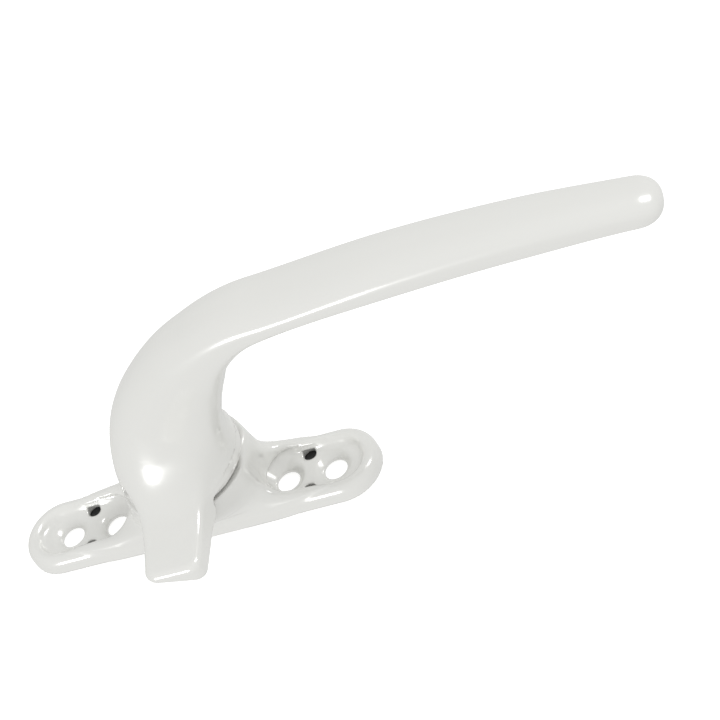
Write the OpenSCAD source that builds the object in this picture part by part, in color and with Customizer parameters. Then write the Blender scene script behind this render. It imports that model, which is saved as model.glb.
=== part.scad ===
// Cockspur window handle: a curved lever with a locking spur, turning on a screwed-down base plate.
// Origin: middle of the four screw holes, on the back face of the plate.
// +X runs along the closed lever, +Z points away from the window and -Y towards the locking spur.
// All sizes are in millimetres.

/* [Fixing holes] */
// Distance between the two inner screw holes
inner_centres = 43; // [42:0.5:45]
// Distance between the two outer screw holes
outer_centres = 66; // [65:0.5:68]
// Diameter of each screw hole
screw_d = 5.4; // [4:0.1:5.6]
// Diameter at the top of the dished seat for a screw head
dish_d = 10.4; // [9:0.1:10.8]

/* [Plate] */
// Length of the plate
plate_l = 88; // [86:1:96]
// Width of the plate
plate_w = 18.4; // [18.2:0.1:20]
// Height of the rails at the ends of the plate
rail_h = 4.6; // [4.2:0.1:5.2]
// Rounding of the top edge of the rails
rail_round = 2.2; // [1.5:0.1:2.4]
// Height of the floor of the two screw recesses
floor_h = 2.4; // [1.9:0.1:2.6]
// Distance from the middle of the screw holes to the near end of each recess
recess_in = 14.6; // [14.4:0.1:16]
// Distance from the middle of the screw holes to the far end of each recess
recess_out = 40.4; // [39.5:0.1:40.8]
// Width of each recess at its floor
recess_w = 11.6; // [10.8:0.1:12.4]
// Diameter of the round pockets that hold the clips of a cover cap
clip_d = 3.5; // [3:0.1:4]

/* [Pedestal] */
// Distance of the pivot from the middle of the screw holes
pivot_x = 2.5; // [1.5:0.1:3]
// Height of the top of the pedestal
pedestal_h = 16.6; // [16.4:0.1:17.4]
// Radius of the pedestal and of the hub where they meet
ring_r = 14.4; // [14.2:0.1:15.2]
// Gap between the pedestal and the hub
seam_gap = 0.6; // [0.5:0.1:0.9]

/* [Lever] */
// Distance from the middle of the screw holes to the tip of the lever
tip_x = 123.5; // [110:0.5:130]
// Height of the tip of the lever
tip_z = 55; // [52:0.5:58]
// Radius of the long bow of the arm
arm_bow_r = 380; // [300:10:500]
// Length of the bowed arm
arm_l = 87; // [75:1:92]
// Slope of the lever at its tip, in degrees
tip_slope = -7.4; // [-10:0.2:-4]
// Rounding of the tip, measured along the lever
tip_round = 6.2; // [5:0.1:7]

/* [Spur] */
// Distance of the end of the spur from the pivot line
spur_reach = 31.2; // [28:0.2:33]
// Width of the spur where it leaves the hub
spur_w = 17; // [14:0.2:17]
// Width of the spur at its end
spur_end_w = 13; // [12:0.2:14]
// Height of the underside of the spur
spur_z = 12.8; // [12.6:0.1:13.4]
// Height of the top of the spur near the hub
spur_top = 20; // [19:0.1:21]
// Height of the top of the spur at its end
spur_end_top = 18.2; // [17.6:0.1:19]
// How far the lever turns, in degrees
swing = 90; // [90:1:90]

/* [Pivot parts] */
// Diameter of the spindle
spindle_d = 9; // [8.6:0.1:9.2]
// Width across the flats of the square end of the spindle
square_af = 6.4; // [6:0.1:6.6]
// Outer diameter of the pivot bush
bush_d = 13; // [12.6:0.1:13.4]
// Depth of the spindle inside the hub
spindle_grip = 15; // [12:0.5:16]
// Thickness of the pad behind the plate
pad_t = 1.2; // [1:0.1:1.3]

/* [Hidden] */
$fn = 64;
white = [0.90, 0.90, 0.88];
steel = [0.70, 0.71, 0.72];
eps = 0.01;
far = 60;

// Running and sliding clearances
run_fit = 0.05;
key_fit = 0.05;
face_fit = 0.05;
sweep_fit = 0.5;

// Plate and recesses
plate_r = plate_w / 2;
recess_x = (recess_in + recess_out) / 2;
recess_l = recess_out - recess_in;
recess_top = 9;
recess_lip = 0.6;
recess_wall = [[-0.8, 0], [-0.2, 0.3], [0.2, 0.9]];
screw_xs = [for (side = [-1, 1], d = [inner_centres, outer_centres]) side * d / 2];
seat_h = 1.2;
boss_r = 4.2;
rim_t = 1.5;
clip_x = (inner_centres + outer_centres) / 4;
clip_y = 5.2;
clip_limit = 7.2;
clip_roof = 3.1;

// Pedestal: its plan is a circle at the top, and stretches along X and thins along Y downwards
foot_z = 3.4;
foot_in = 2.4;
low_zs = [5.3, 5.8, 6.4];
low_full_z = 6;
step_z = 1.2;
ring_sides = 48;
end_room = 5;
waist_in = 0.3;
round_rise = 5;
square_power = 1.5;
flare = 24;
flare_z = 4.4;
edge_r = 0.4;
waist_z = 3;
shoulder_z = 12;

// Hub, neck and arm: [share of the length, half depth, half width]
hub_z = pedestal_h + seam_gap;
stations = [
    [0.00, 14.4, 14.4],
    [0.03, 14.0, 13.0],
    [0.06, 13.2, 10.6],
    [0.09, 12.5, 9.0],
    [0.13, 11.7, 8.3],
    [0.18, 10.6, 8.1],
    [0.24, 8.8, 8.2],
    [0.30, 6.4, 8.2],
    [0.42, 3.8, 8.2],
    [0.60, 4.1, 7.7],
    [0.80, 4.2, 6.8],
    [1.00, 3.9, 5.8],
];
spur_x = pivot_x - 0.5;
neck_lean = -2.6;
neck_rise = 12;
neck_reach = 17;
neck_parts = 60;
arm_power = 2.3;
power_share = 0.07;
arm_sides = 32;
arm_steps = 32;

// Spur: how it rises into the hub, rounds off at its end and ramps up under its end
spur_root = 7;
spur_sides = 32;
spur_power = 5;
spur_shares = [0, 0.1, 0.2, 0.32, 0.45, 0.6, 0.72, 0.8, 0.876, 0.93, 0.97, 0.99, 1];
end_round = 3;
end_share = [0.6, 0.5, 0.8];
rise_y = 21;
rise_r = 19;
ramp = 0.26;
ramp_y = 25;
ramp_l = 5;
sweep_z = 10;

// Pivot: the stack under the web of the pedestal, from the top down
web_z = 9;
cavity_r = 7.4;
cavity_l = 22;
spindle_r = spindle_d / 2;
bush_r = bush_d / 2;
washer_r = 12.8;
washer_z = 16;
lug_r = 6.2;
lug_h = 2.1;
wave_r = 5.9;
wave_t = 0.4;
stop_z = 6.9;
stop_t = 1.2;
stop_r = 5.6;
tab_r = 7.1;
tab_w = 3.4;
lug_w = 20;
cam_z = 4.0;
cam_t = 2.8;
cam_af = 9;
cam_corner_r = 5.6;
plain_z = 3.2;
plain_t = 0.7;
plain_r = 6;
circlip_z = 2.4;
circlip_t = 0.7;
circlip_r = 5.2;
groove_r = 3;
spindle_z = 1.6;
leaf_l = 18;
leaf_t = 0.5;
leaf_h = 2.6;

// ---------- shared geometry ----------

// Cubic curve through four control points
function bezier(p, u) = pow(1 - u, 3) * p[0] + 3 * pow(1 - u, 2) * u * p[1]
    + 3 * (1 - u) * u * u * p[2] + pow(u, 3) * p[3];

// Smooth step from 0 to 1
function ease(u) = let (t = max(0, min(1, u))) t * t * (3 - 2 * t);

// A point on a superellipse with half sizes a and b, where power 2 is an ellipse
function oval(a, b, power, angle) = [
    a * sign(cos(angle)) * pow(abs(cos(angle)), 2 / power),
    b * sign(sin(angle)) * pow(abs(sin(angle)), 2 / power),
];

// Slope of column c of a table at row i, and its value at u by smooth cubic interpolation
function slope(t, c, i) = (i == 0 || i == len(t) - 1) ? 0
    : (t[i + 1][c] - t[i - 1][c]) / (t[i + 1][0] - t[i - 1][0]);
function row_at(t, u, i = 0) = (i >= len(t) - 2 || u < t[i + 1][0]) ? i : row_at(t, u, i + 1);
function smooth_at(t, c, u) = let (
        i = row_at(t, u), w = t[i + 1][0] - t[i][0], k = (u - t[i][0]) / w,
        k2 = k * k, k3 = k2 * k)
    (2 * k3 - 3 * k2 + 1) * t[i][c] + (k3 - 2 * k2 + k) * w * slope(t, c, i)
    + (3 * k2 - 2 * k3) * t[i + 1][c] + (k3 - k2) * w * slope(t, c, i + 1);

// Closed skin over a list of rings with the same number of points
module loft(rings) {
    n = len(rings[0]);
    last = len(rings) - 1;
    points = [for (r = rings) each r];
    walls = [for (j = [0 : last - 1], i = [0 : n - 1])
        let (a = j * n + i, b = j * n + (i + 1) % n) each [[a, b + n, b], [a, a + n, b + n]]];
    polyhedron(points, concat([[for (i = [0 : n - 1]) i]], walls, [[for (i = [n - 1 : -1 : 0]) last * n + i]]));
}

// Long block with round ends, from an outline of [radius, height] whose widest radius is r
module round_ended(length, r, outline) {
    half = length / 2 - r;
    for (side = [-1, 1]) translate([side * half, 0, 0]) rotate_extrude() polygon(outline);
    rotate([90, 0, 90]) translate([0, 0, -half]) linear_extrude(2 * half)
        for (side = [0, 1]) mirror([side, 0]) polygon(outline);
}

// Flat disc with a hole
module ring(r_out, r_in, z, t) {
    translate([pivot_x, 0, z]) difference() {
        cylinder(r = r_out, h = t);
        translate([0, 0, -eps]) cylinder(r = r_in, h = t + 2 * eps);
    }
}

// Square bar on the pivot line, with its corners turned to radius r
module square_bar(af, r, z, t) {
    translate([pivot_x, 0, z]) intersection() {
        translate([-af / 2, -af / 2, 0]) cube([af, af, t]);
        cylinder(r = r, h = t);
    }
}

// ---------- base plate ----------

// Half length, half width and middle of the pedestal at height z
function flare_r(z) = ring_r + flare * (1 / (z - flare_z) - 1 / (pedestal_h - flare_z));
function waist(z) = plate_r - waist_in
    + (ring_r - plate_r + waist_in) * ease((z - waist_z) / (shoulder_z - waist_z));
function middle(z) = pivot_x * ease((z - flare_z) / round_rise);

function pedestal_ring(z, shrink = 0) = let (
        a = min(flare_r(z), plate_l / 2 - end_room) - shrink, b = waist(z) - shrink,
        power = 2 + square_power * (1 - ease((z - flare_z) / round_rise)))
    [for (i = [0 : ring_sides - 1]) let (p = oval(a, b, power, 360 * i / ring_sides))
        [middle(z) + p[0], p[1], z]];

module pedestal() {
    top_z = pedestal_h - edge_r;
    high_zs = [for (z = [low_zs[2] + step_z : step_z : top_z - edge_r]) z];
    foot = [for (p = pedestal_ring(low_zs[0], foot_in)) [p[0], p[1], foot_z]];
    loft(concat([foot], [for (z = concat(low_zs, high_zs, [top_z])) pedestal_ring(z, max(0, low_full_z - z))],
        [pedestal_ring(pedestal_h, edge_r)]));
}

module plate_body() {
    rounding = [for (a = [0 : 15 : 90])
        [plate_r - rail_round * (1 - cos(a)), rail_h - rail_round * (1 - sin(a))]];
    round_ended(plate_l, plate_r, concat([[0, 0], [plate_r, 0]], rounding, [[0, rail_h]]));
}

module recess() {
    r = recess_w / 2;
    wide = r + recess_lip;
    wall = [for (p = recess_wall) [r + p[0], floor_h + p[1]]];
    round_ended(recess_l, wide,
        concat([[0, floor_h]], wall, [[wide, rail_h], [wide, recess_top], [0, recess_top]]));
}

module screw_hole() {
    translate([0, 0, -1]) cylinder(d = screw_d, h = far);
    translate([0, 0, seat_h]) cylinder(d1 = screw_d, d2 = dish_d, h = floor_h - seat_h + eps);
}

module clip_pocket() {
    intersection() {
        translate([0, clip_y, -1]) cylinder(d = clip_d, h = 1 + clip_roof);
        translate([-clip_d, 0, -1]) cube([2 * clip_d, clip_limit, far]);
    }
}

// Space for the pad and the pivot stack, with bosses left standing round the screw holes
module back_cavity() {
    difference() {
        translate([0, 0, -eps]) round_ended(plate_l - 2 * rim_t, plate_r - rim_t,
            [[0, 0], [plate_r - rim_t, 0], [plate_r - rim_t, pad_t + eps], [0, pad_t + eps]]);
        for (x = screw_xs) translate([x, 0, -1]) cylinder(r = boss_r, h = 2 + pad_t);
    }
    translate([pivot_x, 0, 0]) round_ended(cavity_l, cavity_r,
        [[0, 0], [cavity_r, 0], [cavity_r, web_z], [0, web_z]]);
}

// Two lugs under the web that stop the tab of the stop washer
module stop_lugs() {
    gap = asin(tab_w / 2 / lug_r) + 2;
    translate([pivot_x, 0, web_z - lug_h]) for (a = [180 - gap - lug_w, 180 + swing + gap]) rotate(a)
        rotate_extrude(angle = lug_w)
            translate([lug_r, 0]) square([cavity_r - lug_r + 0.4, lug_h + 0.5]);
}

module leaf_slots() {
    for (side = [-1, 1]) translate([pivot_x - leaf_l / 2 - 0.1, side * (cam_af / 2 + leaf_t / 2 + face_fit), 0])
        translate([0, -leaf_t / 2 - 0.1, pad_t]) cube([leaf_l + 0.2, leaf_t + 0.2, cam_z + cam_t - pad_t]);
}

module base_plate() {
    color(white) {
        difference() {
            union() {
                plate_body();
                pedestal();
            }
            for (side = [-1, 1]) translate([side * recess_x, 0, 0]) recess();
            for (x = screw_xs) translate([x, 0, 0]) screw_hole();
            for (side = [-1, 1], y = [0, 1]) translate([side * clip_x, 0, 0]) mirror([0, y, 0]) clip_pocket();
            back_cavity();
            leaf_slots();
            translate([pivot_x, 0, web_z - eps]) cylinder(r = bush_r, h = far);
            translate([pivot_x, 0, washer_z]) cylinder(r = washer_r + 0.1, h = far);
        }
        stop_lugs();
    }
}

// ---------- lever ----------

// Middle line of the lever: a curved neck, then a long bowed arm, in the XZ plane
arm_turn = arm_l / arm_bow_r * 180 / PI;
function arm_point(back) = let (turn = back / arm_bow_r * 180 / PI) [
    tip_x - arm_bow_r * (sin(tip_slope + turn) - sin(tip_slope)),
    tip_z + arm_bow_r * (cos(tip_slope + turn) - cos(tip_slope))];
arm_root = arm_point(arm_l);
neck = [[pivot_x, hub_z], [pivot_x + neck_lean, hub_z + neck_rise],
    arm_root - neck_reach * [cos(tip_slope + arm_turn), sin(tip_slope + arm_turn)], arm_root];
neck_points = [for (i = [0 : neck_parts]) bezier(neck, i / neck_parts)];
function run_to(i) = i == 0 ? 0 : run_to(i - 1) + norm(neck_points[i] - neck_points[i - 1]);
neck_runs = [for (i = [0 : neck_parts]) run_to(i)];
neck_l = neck_runs[neck_parts];
lever_l = neck_l + arm_l;
function spine(s) = s * lever_l >= neck_l ? arm_point((1 - s) * lever_l)
    : [lookup(s * lever_l, neck_xs), lookup(s * lever_l, neck_zs)];
neck_xs = [for (i = [0 : neck_parts]) [neck_runs[i], neck_points[i][0]]];
neck_zs = [for (i = [0 : neck_parts]) [neck_runs[i], neck_points[i][1]]];

function lever_ring(s, shrink = 0) = let (
        d = 0.008, ahead = spine(min(1, s + d)) - spine(max(0, s - d)),
        dir = s < 0.01 ? [0, 1] : ahead / norm(ahead),
        from_cap = max(0, s * lever_l - lever_l + tip_round) / tip_round,
        cap = sqrt(max(0.0009, 1 - from_cap * from_cap)),
        a = (smooth_at(stations, 1, s) - shrink) * cap, b = (smooth_at(stations, 2, s) - shrink) * cap,
        power = 2 + (arm_power - 2) * ease(s / power_share), c = spine(s))
    [for (i = [0 : arm_sides - 1]) let (p = oval(a, b, power, 360 * i / arm_sides))
        [c[0] + dir[1] * p[0], p[1], c[1] - dir[0] * p[0]]];

module lever_skin() {
    cap_s = 1 - tip_round / lever_l;
    shares = concat([for (i = [1 : arm_steps]) i / arm_steps * cap_s],
        [for (a = [20 : 20 : 80]) 1 - (1 - cap_s) * (1 - sin(a))]);
    hem = edge_r / lever_l;
    loft(concat([lever_ring(0, edge_r), lever_ring(hem)], [for (s = shares) lever_ring(s)]));
}

// The spur: a block that runs out along -Y, rounded on its top edges and its end
module spur() {
    body_l = spur_reach - spur_root;
    function spur_ring(k) = let (
            y = spur_root + body_l * k, over = max(0, y - spur_reach + end_round) / end_round,
            cut = end_round * (1 - sqrt(max(0, 1 - over * over))), run = max(0, rise_y - y),
            half = spur_w / 2 + (spur_end_w - spur_w) / 2 * k - end_share[0] * cut,
            rise = rise_r - sqrt(rise_r * rise_r - run * run),
            top = spur_top + (spur_end_top - spur_top) * k + rise - end_share[1] * cut,
            low = spur_z + end_share[2] * cut, mid = (top + low) / 2, tilt = ramp * ease((y - ramp_y) / ramp_l))
        [for (i = [0 : spur_sides - 1]) let (p = oval(half, (top - low) / 2, spur_power, 360 * i / spur_sides))
            [spur_x + p[0], -y, mid + p[1] + (p[1] < 0 ? tilt * (half - p[0]) * -2 * p[1] / (top - low) : 0)]];
    loft([for (k = spur_shares) spur_ring(k)]);
}

// Everything that the spur must pass over: the pedestal, turned about the pivot line
module sweep_relief() {
    outline = [for (z = [sweep_z : step_z : hub_z - sweep_fit])
        [flare_r(z) + pivot_x - middle(z) + sweep_fit, z]];
    translate([pivot_x, 0, 0]) rotate_extrude() polygon(concat([[0, sweep_z]], outline,
        [[ring_r + sweep_fit, hub_z], [0, hub_z]]));
}

module lever() {
    color(white) difference() {
        union() {
            lever_skin();
            difference() {
                spur();
                sweep_relief();
            }
        }
        translate([pivot_x, 0, hub_z - 1]) cylinder(r = spindle_r + eps, h = 1 + spindle_grip);
    }
}

// ---------- pivot parts ----------

module spindle() {
    color(steel) {
        translate([pivot_x, 0, stop_z + stop_t])
            cylinder(r = spindle_r, h = hub_z + spindle_grip - stop_z - stop_t);
        difference() {
            square_bar(square_af, spindle_r, spindle_z, stop_z + stop_t - spindle_z);
            ring(far, groove_r, circlip_z, circlip_t);
        }
    }
}

module thrust_washer() {
    color("ivory") ring(washer_r, spindle_r + 0.4, washer_z, hub_z - face_fit - washer_z);
}

module pivot_bush() {
    color("ivory") ring(bush_r, spindle_r + run_fit, web_z, washer_z - face_fit - web_z);
}

module wave_washer() {
    color(steel) ring(wave_r, spindle_r + 0.15, (web_z + stop_z + stop_t - wave_t) / 2, wave_t);
}

// Disc on the square end of the spindle, with a tab that runs between the stop lugs
module stop_washer() {
    color(steel) difference() {
        union() {
            translate([pivot_x, 0, stop_z]) cylinder(r = stop_r, h = stop_t);
            translate([pivot_x - tab_r, -tab_w / 2, stop_z]) cube([tab_r - stop_r / 2, tab_w, stop_t]);
        }
        square_bar(square_af + 2 * key_fit, spindle_r + key_fit, stop_z - eps, stop_t + 2 * eps);
    }
}

// Square cam that the leaf springs rest against, so the lever clicks at each quarter turn
module index_cam() {
    color("ivory") difference() {
        square_bar(cam_af, cam_corner_r, cam_z, cam_t);
        square_bar(square_af + 2 * key_fit, spindle_r + key_fit, cam_z - eps, cam_t + 2 * eps);
    }
}

module index_springs() {
    color(steel) for (side = [-1, 1])
        translate([pivot_x - leaf_l / 2, side * (cam_af / 2 + leaf_t / 2 + face_fit) - leaf_t / 2, cam_z])
            cube([leaf_l, leaf_t, leaf_h]);
}

module plain_washer() {
    color(steel) ring(plain_r, spindle_r + 0.15, plain_z, plain_t);
}

// Open ring that snaps into the groove of the spindle
module retaining_ring() {
    mouth = 4;
    color(steel) difference() {
        ring(circlip_r, groove_r + 0.05, circlip_z + face_fit, circlip_t - 2 * face_fit);
        translate([pivot_x, -mouth / 2, 0]) cube([far, mouth, far]);
    }
}

module back_pad() {
    r = plate_r - rim_t - 0.15;
    color([0.06, 0.06, 0.06]) difference() {
        round_ended(plate_l - 2 * rim_t - 0.3, r, [[0, 0], [r, 0], [r, pad_t - face_fit], [0, pad_t - face_fit]]);
        for (x = screw_xs) translate([x, 0, -1]) cylinder(r = boss_r + 0.15, h = 3);
    }
}

base_plate();
lever();
spindle();
thrust_washer();
pivot_bush();
wave_washer();
stop_washer();
index_cam();
index_springs();
plain_washer();
retaining_ring();
back_pad();
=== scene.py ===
"""Looks of a cockspur window handle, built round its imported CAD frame.

The two white castings are modelled as smooth solid fields, in millimetres, and skinned into meshes. The
sprung parts of the pivot are Geometry Nodes. The other pivot parts keep their CAD shapes and get finishes.
"""

import enum
import logging
import math
from dataclasses import dataclass, field
from typing import Any, Callable, Sequence

import bpy
import numpy as np
from mathutils import Matrix, Vector


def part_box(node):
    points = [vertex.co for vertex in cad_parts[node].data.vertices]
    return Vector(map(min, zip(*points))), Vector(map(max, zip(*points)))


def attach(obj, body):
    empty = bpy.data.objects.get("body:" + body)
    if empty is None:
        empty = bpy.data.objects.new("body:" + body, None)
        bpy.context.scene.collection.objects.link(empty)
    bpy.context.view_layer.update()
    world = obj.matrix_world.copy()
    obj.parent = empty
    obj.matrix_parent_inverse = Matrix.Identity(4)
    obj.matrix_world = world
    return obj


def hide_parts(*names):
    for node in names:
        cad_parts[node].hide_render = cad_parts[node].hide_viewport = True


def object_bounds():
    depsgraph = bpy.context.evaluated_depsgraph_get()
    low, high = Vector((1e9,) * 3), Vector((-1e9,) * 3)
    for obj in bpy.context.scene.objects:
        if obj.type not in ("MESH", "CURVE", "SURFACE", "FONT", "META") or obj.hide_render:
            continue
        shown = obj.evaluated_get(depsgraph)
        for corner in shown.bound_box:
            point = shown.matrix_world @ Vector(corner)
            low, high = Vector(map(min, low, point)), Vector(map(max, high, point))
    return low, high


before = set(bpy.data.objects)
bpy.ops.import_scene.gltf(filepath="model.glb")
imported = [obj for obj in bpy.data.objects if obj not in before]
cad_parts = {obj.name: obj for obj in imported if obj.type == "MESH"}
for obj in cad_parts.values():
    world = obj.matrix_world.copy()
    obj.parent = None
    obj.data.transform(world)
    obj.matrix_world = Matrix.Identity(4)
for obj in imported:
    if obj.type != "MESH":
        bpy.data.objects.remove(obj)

LOG = logging.getLogger("handle")
MM = 0.001
CAD_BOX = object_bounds()
Array = np.ndarray
Solid = Callable[[Array, Array, Array], Array]


# ---------- solid fields: negative inside, in millimetres ----------


def ease(u: Array) -> Array:
    """Smooth step from 0 to 1."""
    t = np.clip(u, 0.0, 1.0)
    return t * t * (3.0 - 2.0 * t)


def join(a: Array, b: Array, soft: Array | float) -> Array:
    """Union of two fields with a fillet.

    Args:
        a: first field.
        b: second field.
        soft: width of the fillet, above 0.

    Returns:
        The joined field.
    """
    h = np.maximum(soft - np.abs(a - b), 0.0) / soft
    return np.minimum(a, b) - h * h * soft * 0.25


def common(a: Array, b: Array, soft: Array | float) -> Array:
    """What two fields share, with its edges rounded by soft."""
    return -join(-a, -b, soft)


def carve(a: Array, b: Array, soft: Array | float) -> Array:
    """Field a with field b cut out of it, with the rim rounded by soft."""
    return common(a, -b, soft)


def disc(x: Array, y: Array, cx: float, cy: float, r: float) -> Array:
    """Plan distance to a circle."""
    return np.hypot(x - cx, y - cy) - r


def stadium(x: Array, y: Array, low: Array | float, high: float, r: Array | float) -> Array:
    """Plan distance to a long shape with round ends.

    Args:
        x: X of the points.
        y: Y of the points.
        low: X of its first end.
        high: X of its last end.
        r: half its width.

    Returns:
        Distance in plan.
    """
    middle = (low + high) / 2
    reach = np.maximum(np.abs(x - middle) - ((high - low) / 2 - r), 0.0)
    return np.hypot(reach, y) - r


def slab(plan: Array, z: Array, low: Array | float, high: Array | float, edge: float) -> Array:
    """A plan shape given height, with its edges rounded.

    Args:
        plan: plan distance of the outline.
        z: heights.
        low: height of the underside.
        high: height of the top.
        edge: radius of the rounded edges.

    Returns:
        Distance to the solid.
    """
    rise = np.maximum(low - z, z - high) + edge
    side = plan + edge
    outside = np.hypot(np.maximum(rise, 0.0), np.maximum(side, 0.0))
    return outside + np.minimum(np.maximum(rise, side), 0.0) - edge


def table_curve(rows: Sequence[Sequence[float]], column: int, u: Array) -> Array:
    """Smooth cubic curve through one column of a table.

    Args:
        rows: the table, whose first column is the position.
        column: the column to follow.
        u: positions to read it at.

    Returns:
        The column's value at each position.
    """
    t = np.array([row[0] for row in rows])
    v = np.array([row[column] for row in rows])
    slope = np.zeros(len(t))
    slope[1:-1] = (v[2:] - v[:-2]) / (t[2:] - t[:-2])
    i = np.clip(np.searchsorted(t, u, side="right") - 1, 0, len(t) - 2)
    width = t[i + 1] - t[i]
    k = (u - t[i]) / width
    k2, k3 = k * k, k * k * k
    start = (2 * k3 - 3 * k2 + 1) * v[i] + (k3 - 2 * k2 + k) * width * slope[i]
    return start + (3 * k2 - 2 * k3) * v[i + 1] + (k3 - k2) * width * slope[i + 1]


@dataclass(frozen=True)
class Fade:
    """A softness that grows towards the middle of the plate.

    Attributes:
        ends: its value at the ends.
        extra: what is added near the middle.
        start: distance from the middle where it begins to grow.
        width: distance over which it grows.
    """

    ends: float
    extra: float
    start: float
    width: float

    def at(self, x: Array) -> Array:
        """Softness at places along X."""
        return self.ends + self.extra * ease((self.start - np.abs(x)) / self.width)


@dataclass(frozen=True)
class Skinner:
    """Turns a solid field into a closed mesh of even quads.

    Attributes:
        low: lowest corner of the space to search.
        high: highest corner of it.
        step: size of a cell.
        batch: slices of the grid that are worked out together.
        rounds: how often the points are moved onto the surface.
        probe: distance over which the field's slope is taken.
        least_slope: smallest squared slope that a move is divided by.
        leash: longest move, in cells.
    """

    low: tuple[float, float, float]
    high: tuple[float, float, float]
    step: float
    batch: int = 16
    rounds: int = 3
    probe: float = 0.02
    least_slope: float = 0.25
    leash: float = 0.5

    def values(self, solid: Solid) -> tuple[Array, list[Array]]:
        """Works out the field on a grid.

        Args:
            solid: the field.

        Returns:
            Its values, and the grid's three axes.
        """
        axes = [np.arange(a, b + self.step, self.step) for a, b in zip(self.low, self.high)]
        rows = [
            solid(axes[0][i : i + self.batch, None, None], axes[1][None, :, None], axes[2][None, None, :])
            for i in range(0, len(axes[0]), self.batch)
        ]
        return np.concatenate(rows, axis=0), axes

    def skin(self, name: str, solid: Solid) -> bpy.types.Object:
        """Builds the mesh where the field is zero.

        Args:
            name: name of the new object.
            solid: the field.

        Returns:
            The object, in metres, with smooth faces that point outwards.
        """
        grid, axes = self.values(solid)
        inside = grid < 0
        size = grid.shape
        cell = tuple(n - 1 for n in size)
        corners = [(i, j, k) for i in (0, 1) for j in (0, 1) for k in (0, 1)]

        def at(source: Array, c: tuple[int, int, int]) -> Array:
            """Values of the grid at one corner of every cell."""
            return source[c[0] : cell[0] + c[0], c[1] : cell[1] + c[1], c[2] : cell[2] + c[2]]

        filled = sum(at(inside, c).astype(np.int8) for c in corners)
        where = np.argwhere((filled > 0) & (filled < 8))
        index = np.full(cell, -1, np.int64)
        index[tuple(where.T)] = np.arange(len(where))
        total = np.zeros((len(where), 3))
        count = np.zeros(len(where))
        for a in corners:
            for axis in range(3):
                if a[axis]:
                    continue
                b = tuple(1 if n == axis else a[n] for n in range(3))
                va = grid[tuple((where + a).T)]
                vb = grid[tuple((where + b).T)]
                crossed = (va < 0) != (vb < 0)
                gap = np.where(crossed, va - vb, 1.0)
                point = np.array(a, float) + np.eye(3)[axis] * (va / gap)[:, None]
                total += point * crossed[:, None]
                count += crossed
        points = (where + total / count[:, None]) * self.step + [axis[0] for axis in axes]
        points = self.settle(solid, points)
        return mesh_object(name, points * MM, self.quads(inside, index))

    def quads(self, inside: Array, index: Array) -> Array:
        """Finds the four cells round every grid edge that the surface crosses.

        Args:
            inside: which grid points are in the solid.
            index: number of the point in each cell.

        Returns:
            Four point numbers a face, turned to face outwards.
        """
        found = []
        for axis in range(3):
            u, v = (axis + 1) % 3, (axis + 2) % 3
            a = [slice(1, -1)] * 3
            b = [slice(1, -1)] * 3
            a[axis], b[axis] = slice(0, -1), slice(1, None)
            first, second = inside[tuple(a)], inside[tuple(b)]
            for crossing, order in ((first & ~second, (0, 1, 2, 3)), (second & ~first, (3, 2, 1, 0))):
                p = np.argwhere(crossing) + 1
                p[:, axis] -= 1
                ring = []
                for du, dv in ((-1, -1), (0, -1), (0, 0), (-1, 0)):
                    q = p.copy()
                    q[:, u] += du
                    q[:, v] += dv
                    ring.append(index[tuple(q.T)])
                found.append(np.stack([ring[n] for n in order], axis=1))
        return np.concatenate(found)

    def settle(self, solid: Solid, points: Array) -> Array:
        """Moves points onto the surface along the field's slope, by no more than the leash.

        Args:
            solid: the field.
            points: the points.

        Returns:
            The moved points.
        """
        start = points.copy()
        for _ in range(self.rounds):
            value = solid(*points.T)
            shifted = [solid(*(points + np.eye(3)[n] * self.probe).T) for n in range(3)]
            slope = np.stack([(s - value) / self.probe for s in shifted], axis=1)
            steep = np.maximum((slope * slope).sum(axis=1), self.least_slope)
            points = points - slope * (value / steep)[:, None]
            move = points - start
            far = np.maximum(np.linalg.norm(move, axis=1) / (self.leash * self.step), 1.0)
            points = start + move / far[:, None]
        return points


def mesh_object(name: str, points: Array, faces: Array) -> bpy.types.Object:
    """Makes a smooth-shaded object at the origin.

    Args:
        name: name of the object and its mesh.
        points: its points, in metres.
        faces: four point numbers a face.

    Returns:
        The object, linked to the scene.
    """
    mesh = bpy.data.meshes.new(name)
    mesh.vertices.add(len(points))
    mesh.vertices.foreach_set("co", points.astype(np.float32).ravel())
    mesh.loops.add(faces.size)
    mesh.loops.foreach_set("vertex_index", faces.astype(np.int32).ravel())
    mesh.polygons.add(len(faces))
    mesh.polygons.foreach_set("loop_start", np.arange(0, faces.size, 4, dtype=np.int32))
    mesh.update(calc_edges=True)
    mesh.validate()
    mesh.polygons.foreach_set("use_smooth", np.ones(len(faces), bool))
    mesh.update()
    piece = bpy.data.objects.new(name, mesh)
    bpy.context.scene.collection.objects.link(piece)
    return piece


# ---------- node graphs ----------


class Link:
    """One output socket in a node graph, with arithmetic that adds Math nodes."""

    def __init__(self, graph: "Graph", socket: bpy.types.NodeSocket) -> None:
        """Wraps a socket of a graph."""
        self.graph = graph
        self.socket = socket

    def _math(self, operation: str, *values: Any) -> "Link":
        """Adds one Math node."""
        inputs = dict(enumerate(values))
        return self.graph.add("ShaderNodeMath", {"operation": operation}, inputs)

    def __add__(self, other: Any) -> "Link":
        """Sum."""
        return self._math("ADD", self, other)

    def __mul__(self, other: Any) -> "Link":
        """Product."""
        return self._math("MULTIPLY", self, other)

    __radd__ = __add__
    __rmul__ = __mul__

    def sine(self) -> "Link":
        """Sine of an angle in radians."""
        return self._math("SINE", self)

    def out(self, name: str) -> "Link":
        """Another output of the same node."""
        return Link(self.graph, self.socket.node.outputs[name])


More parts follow.
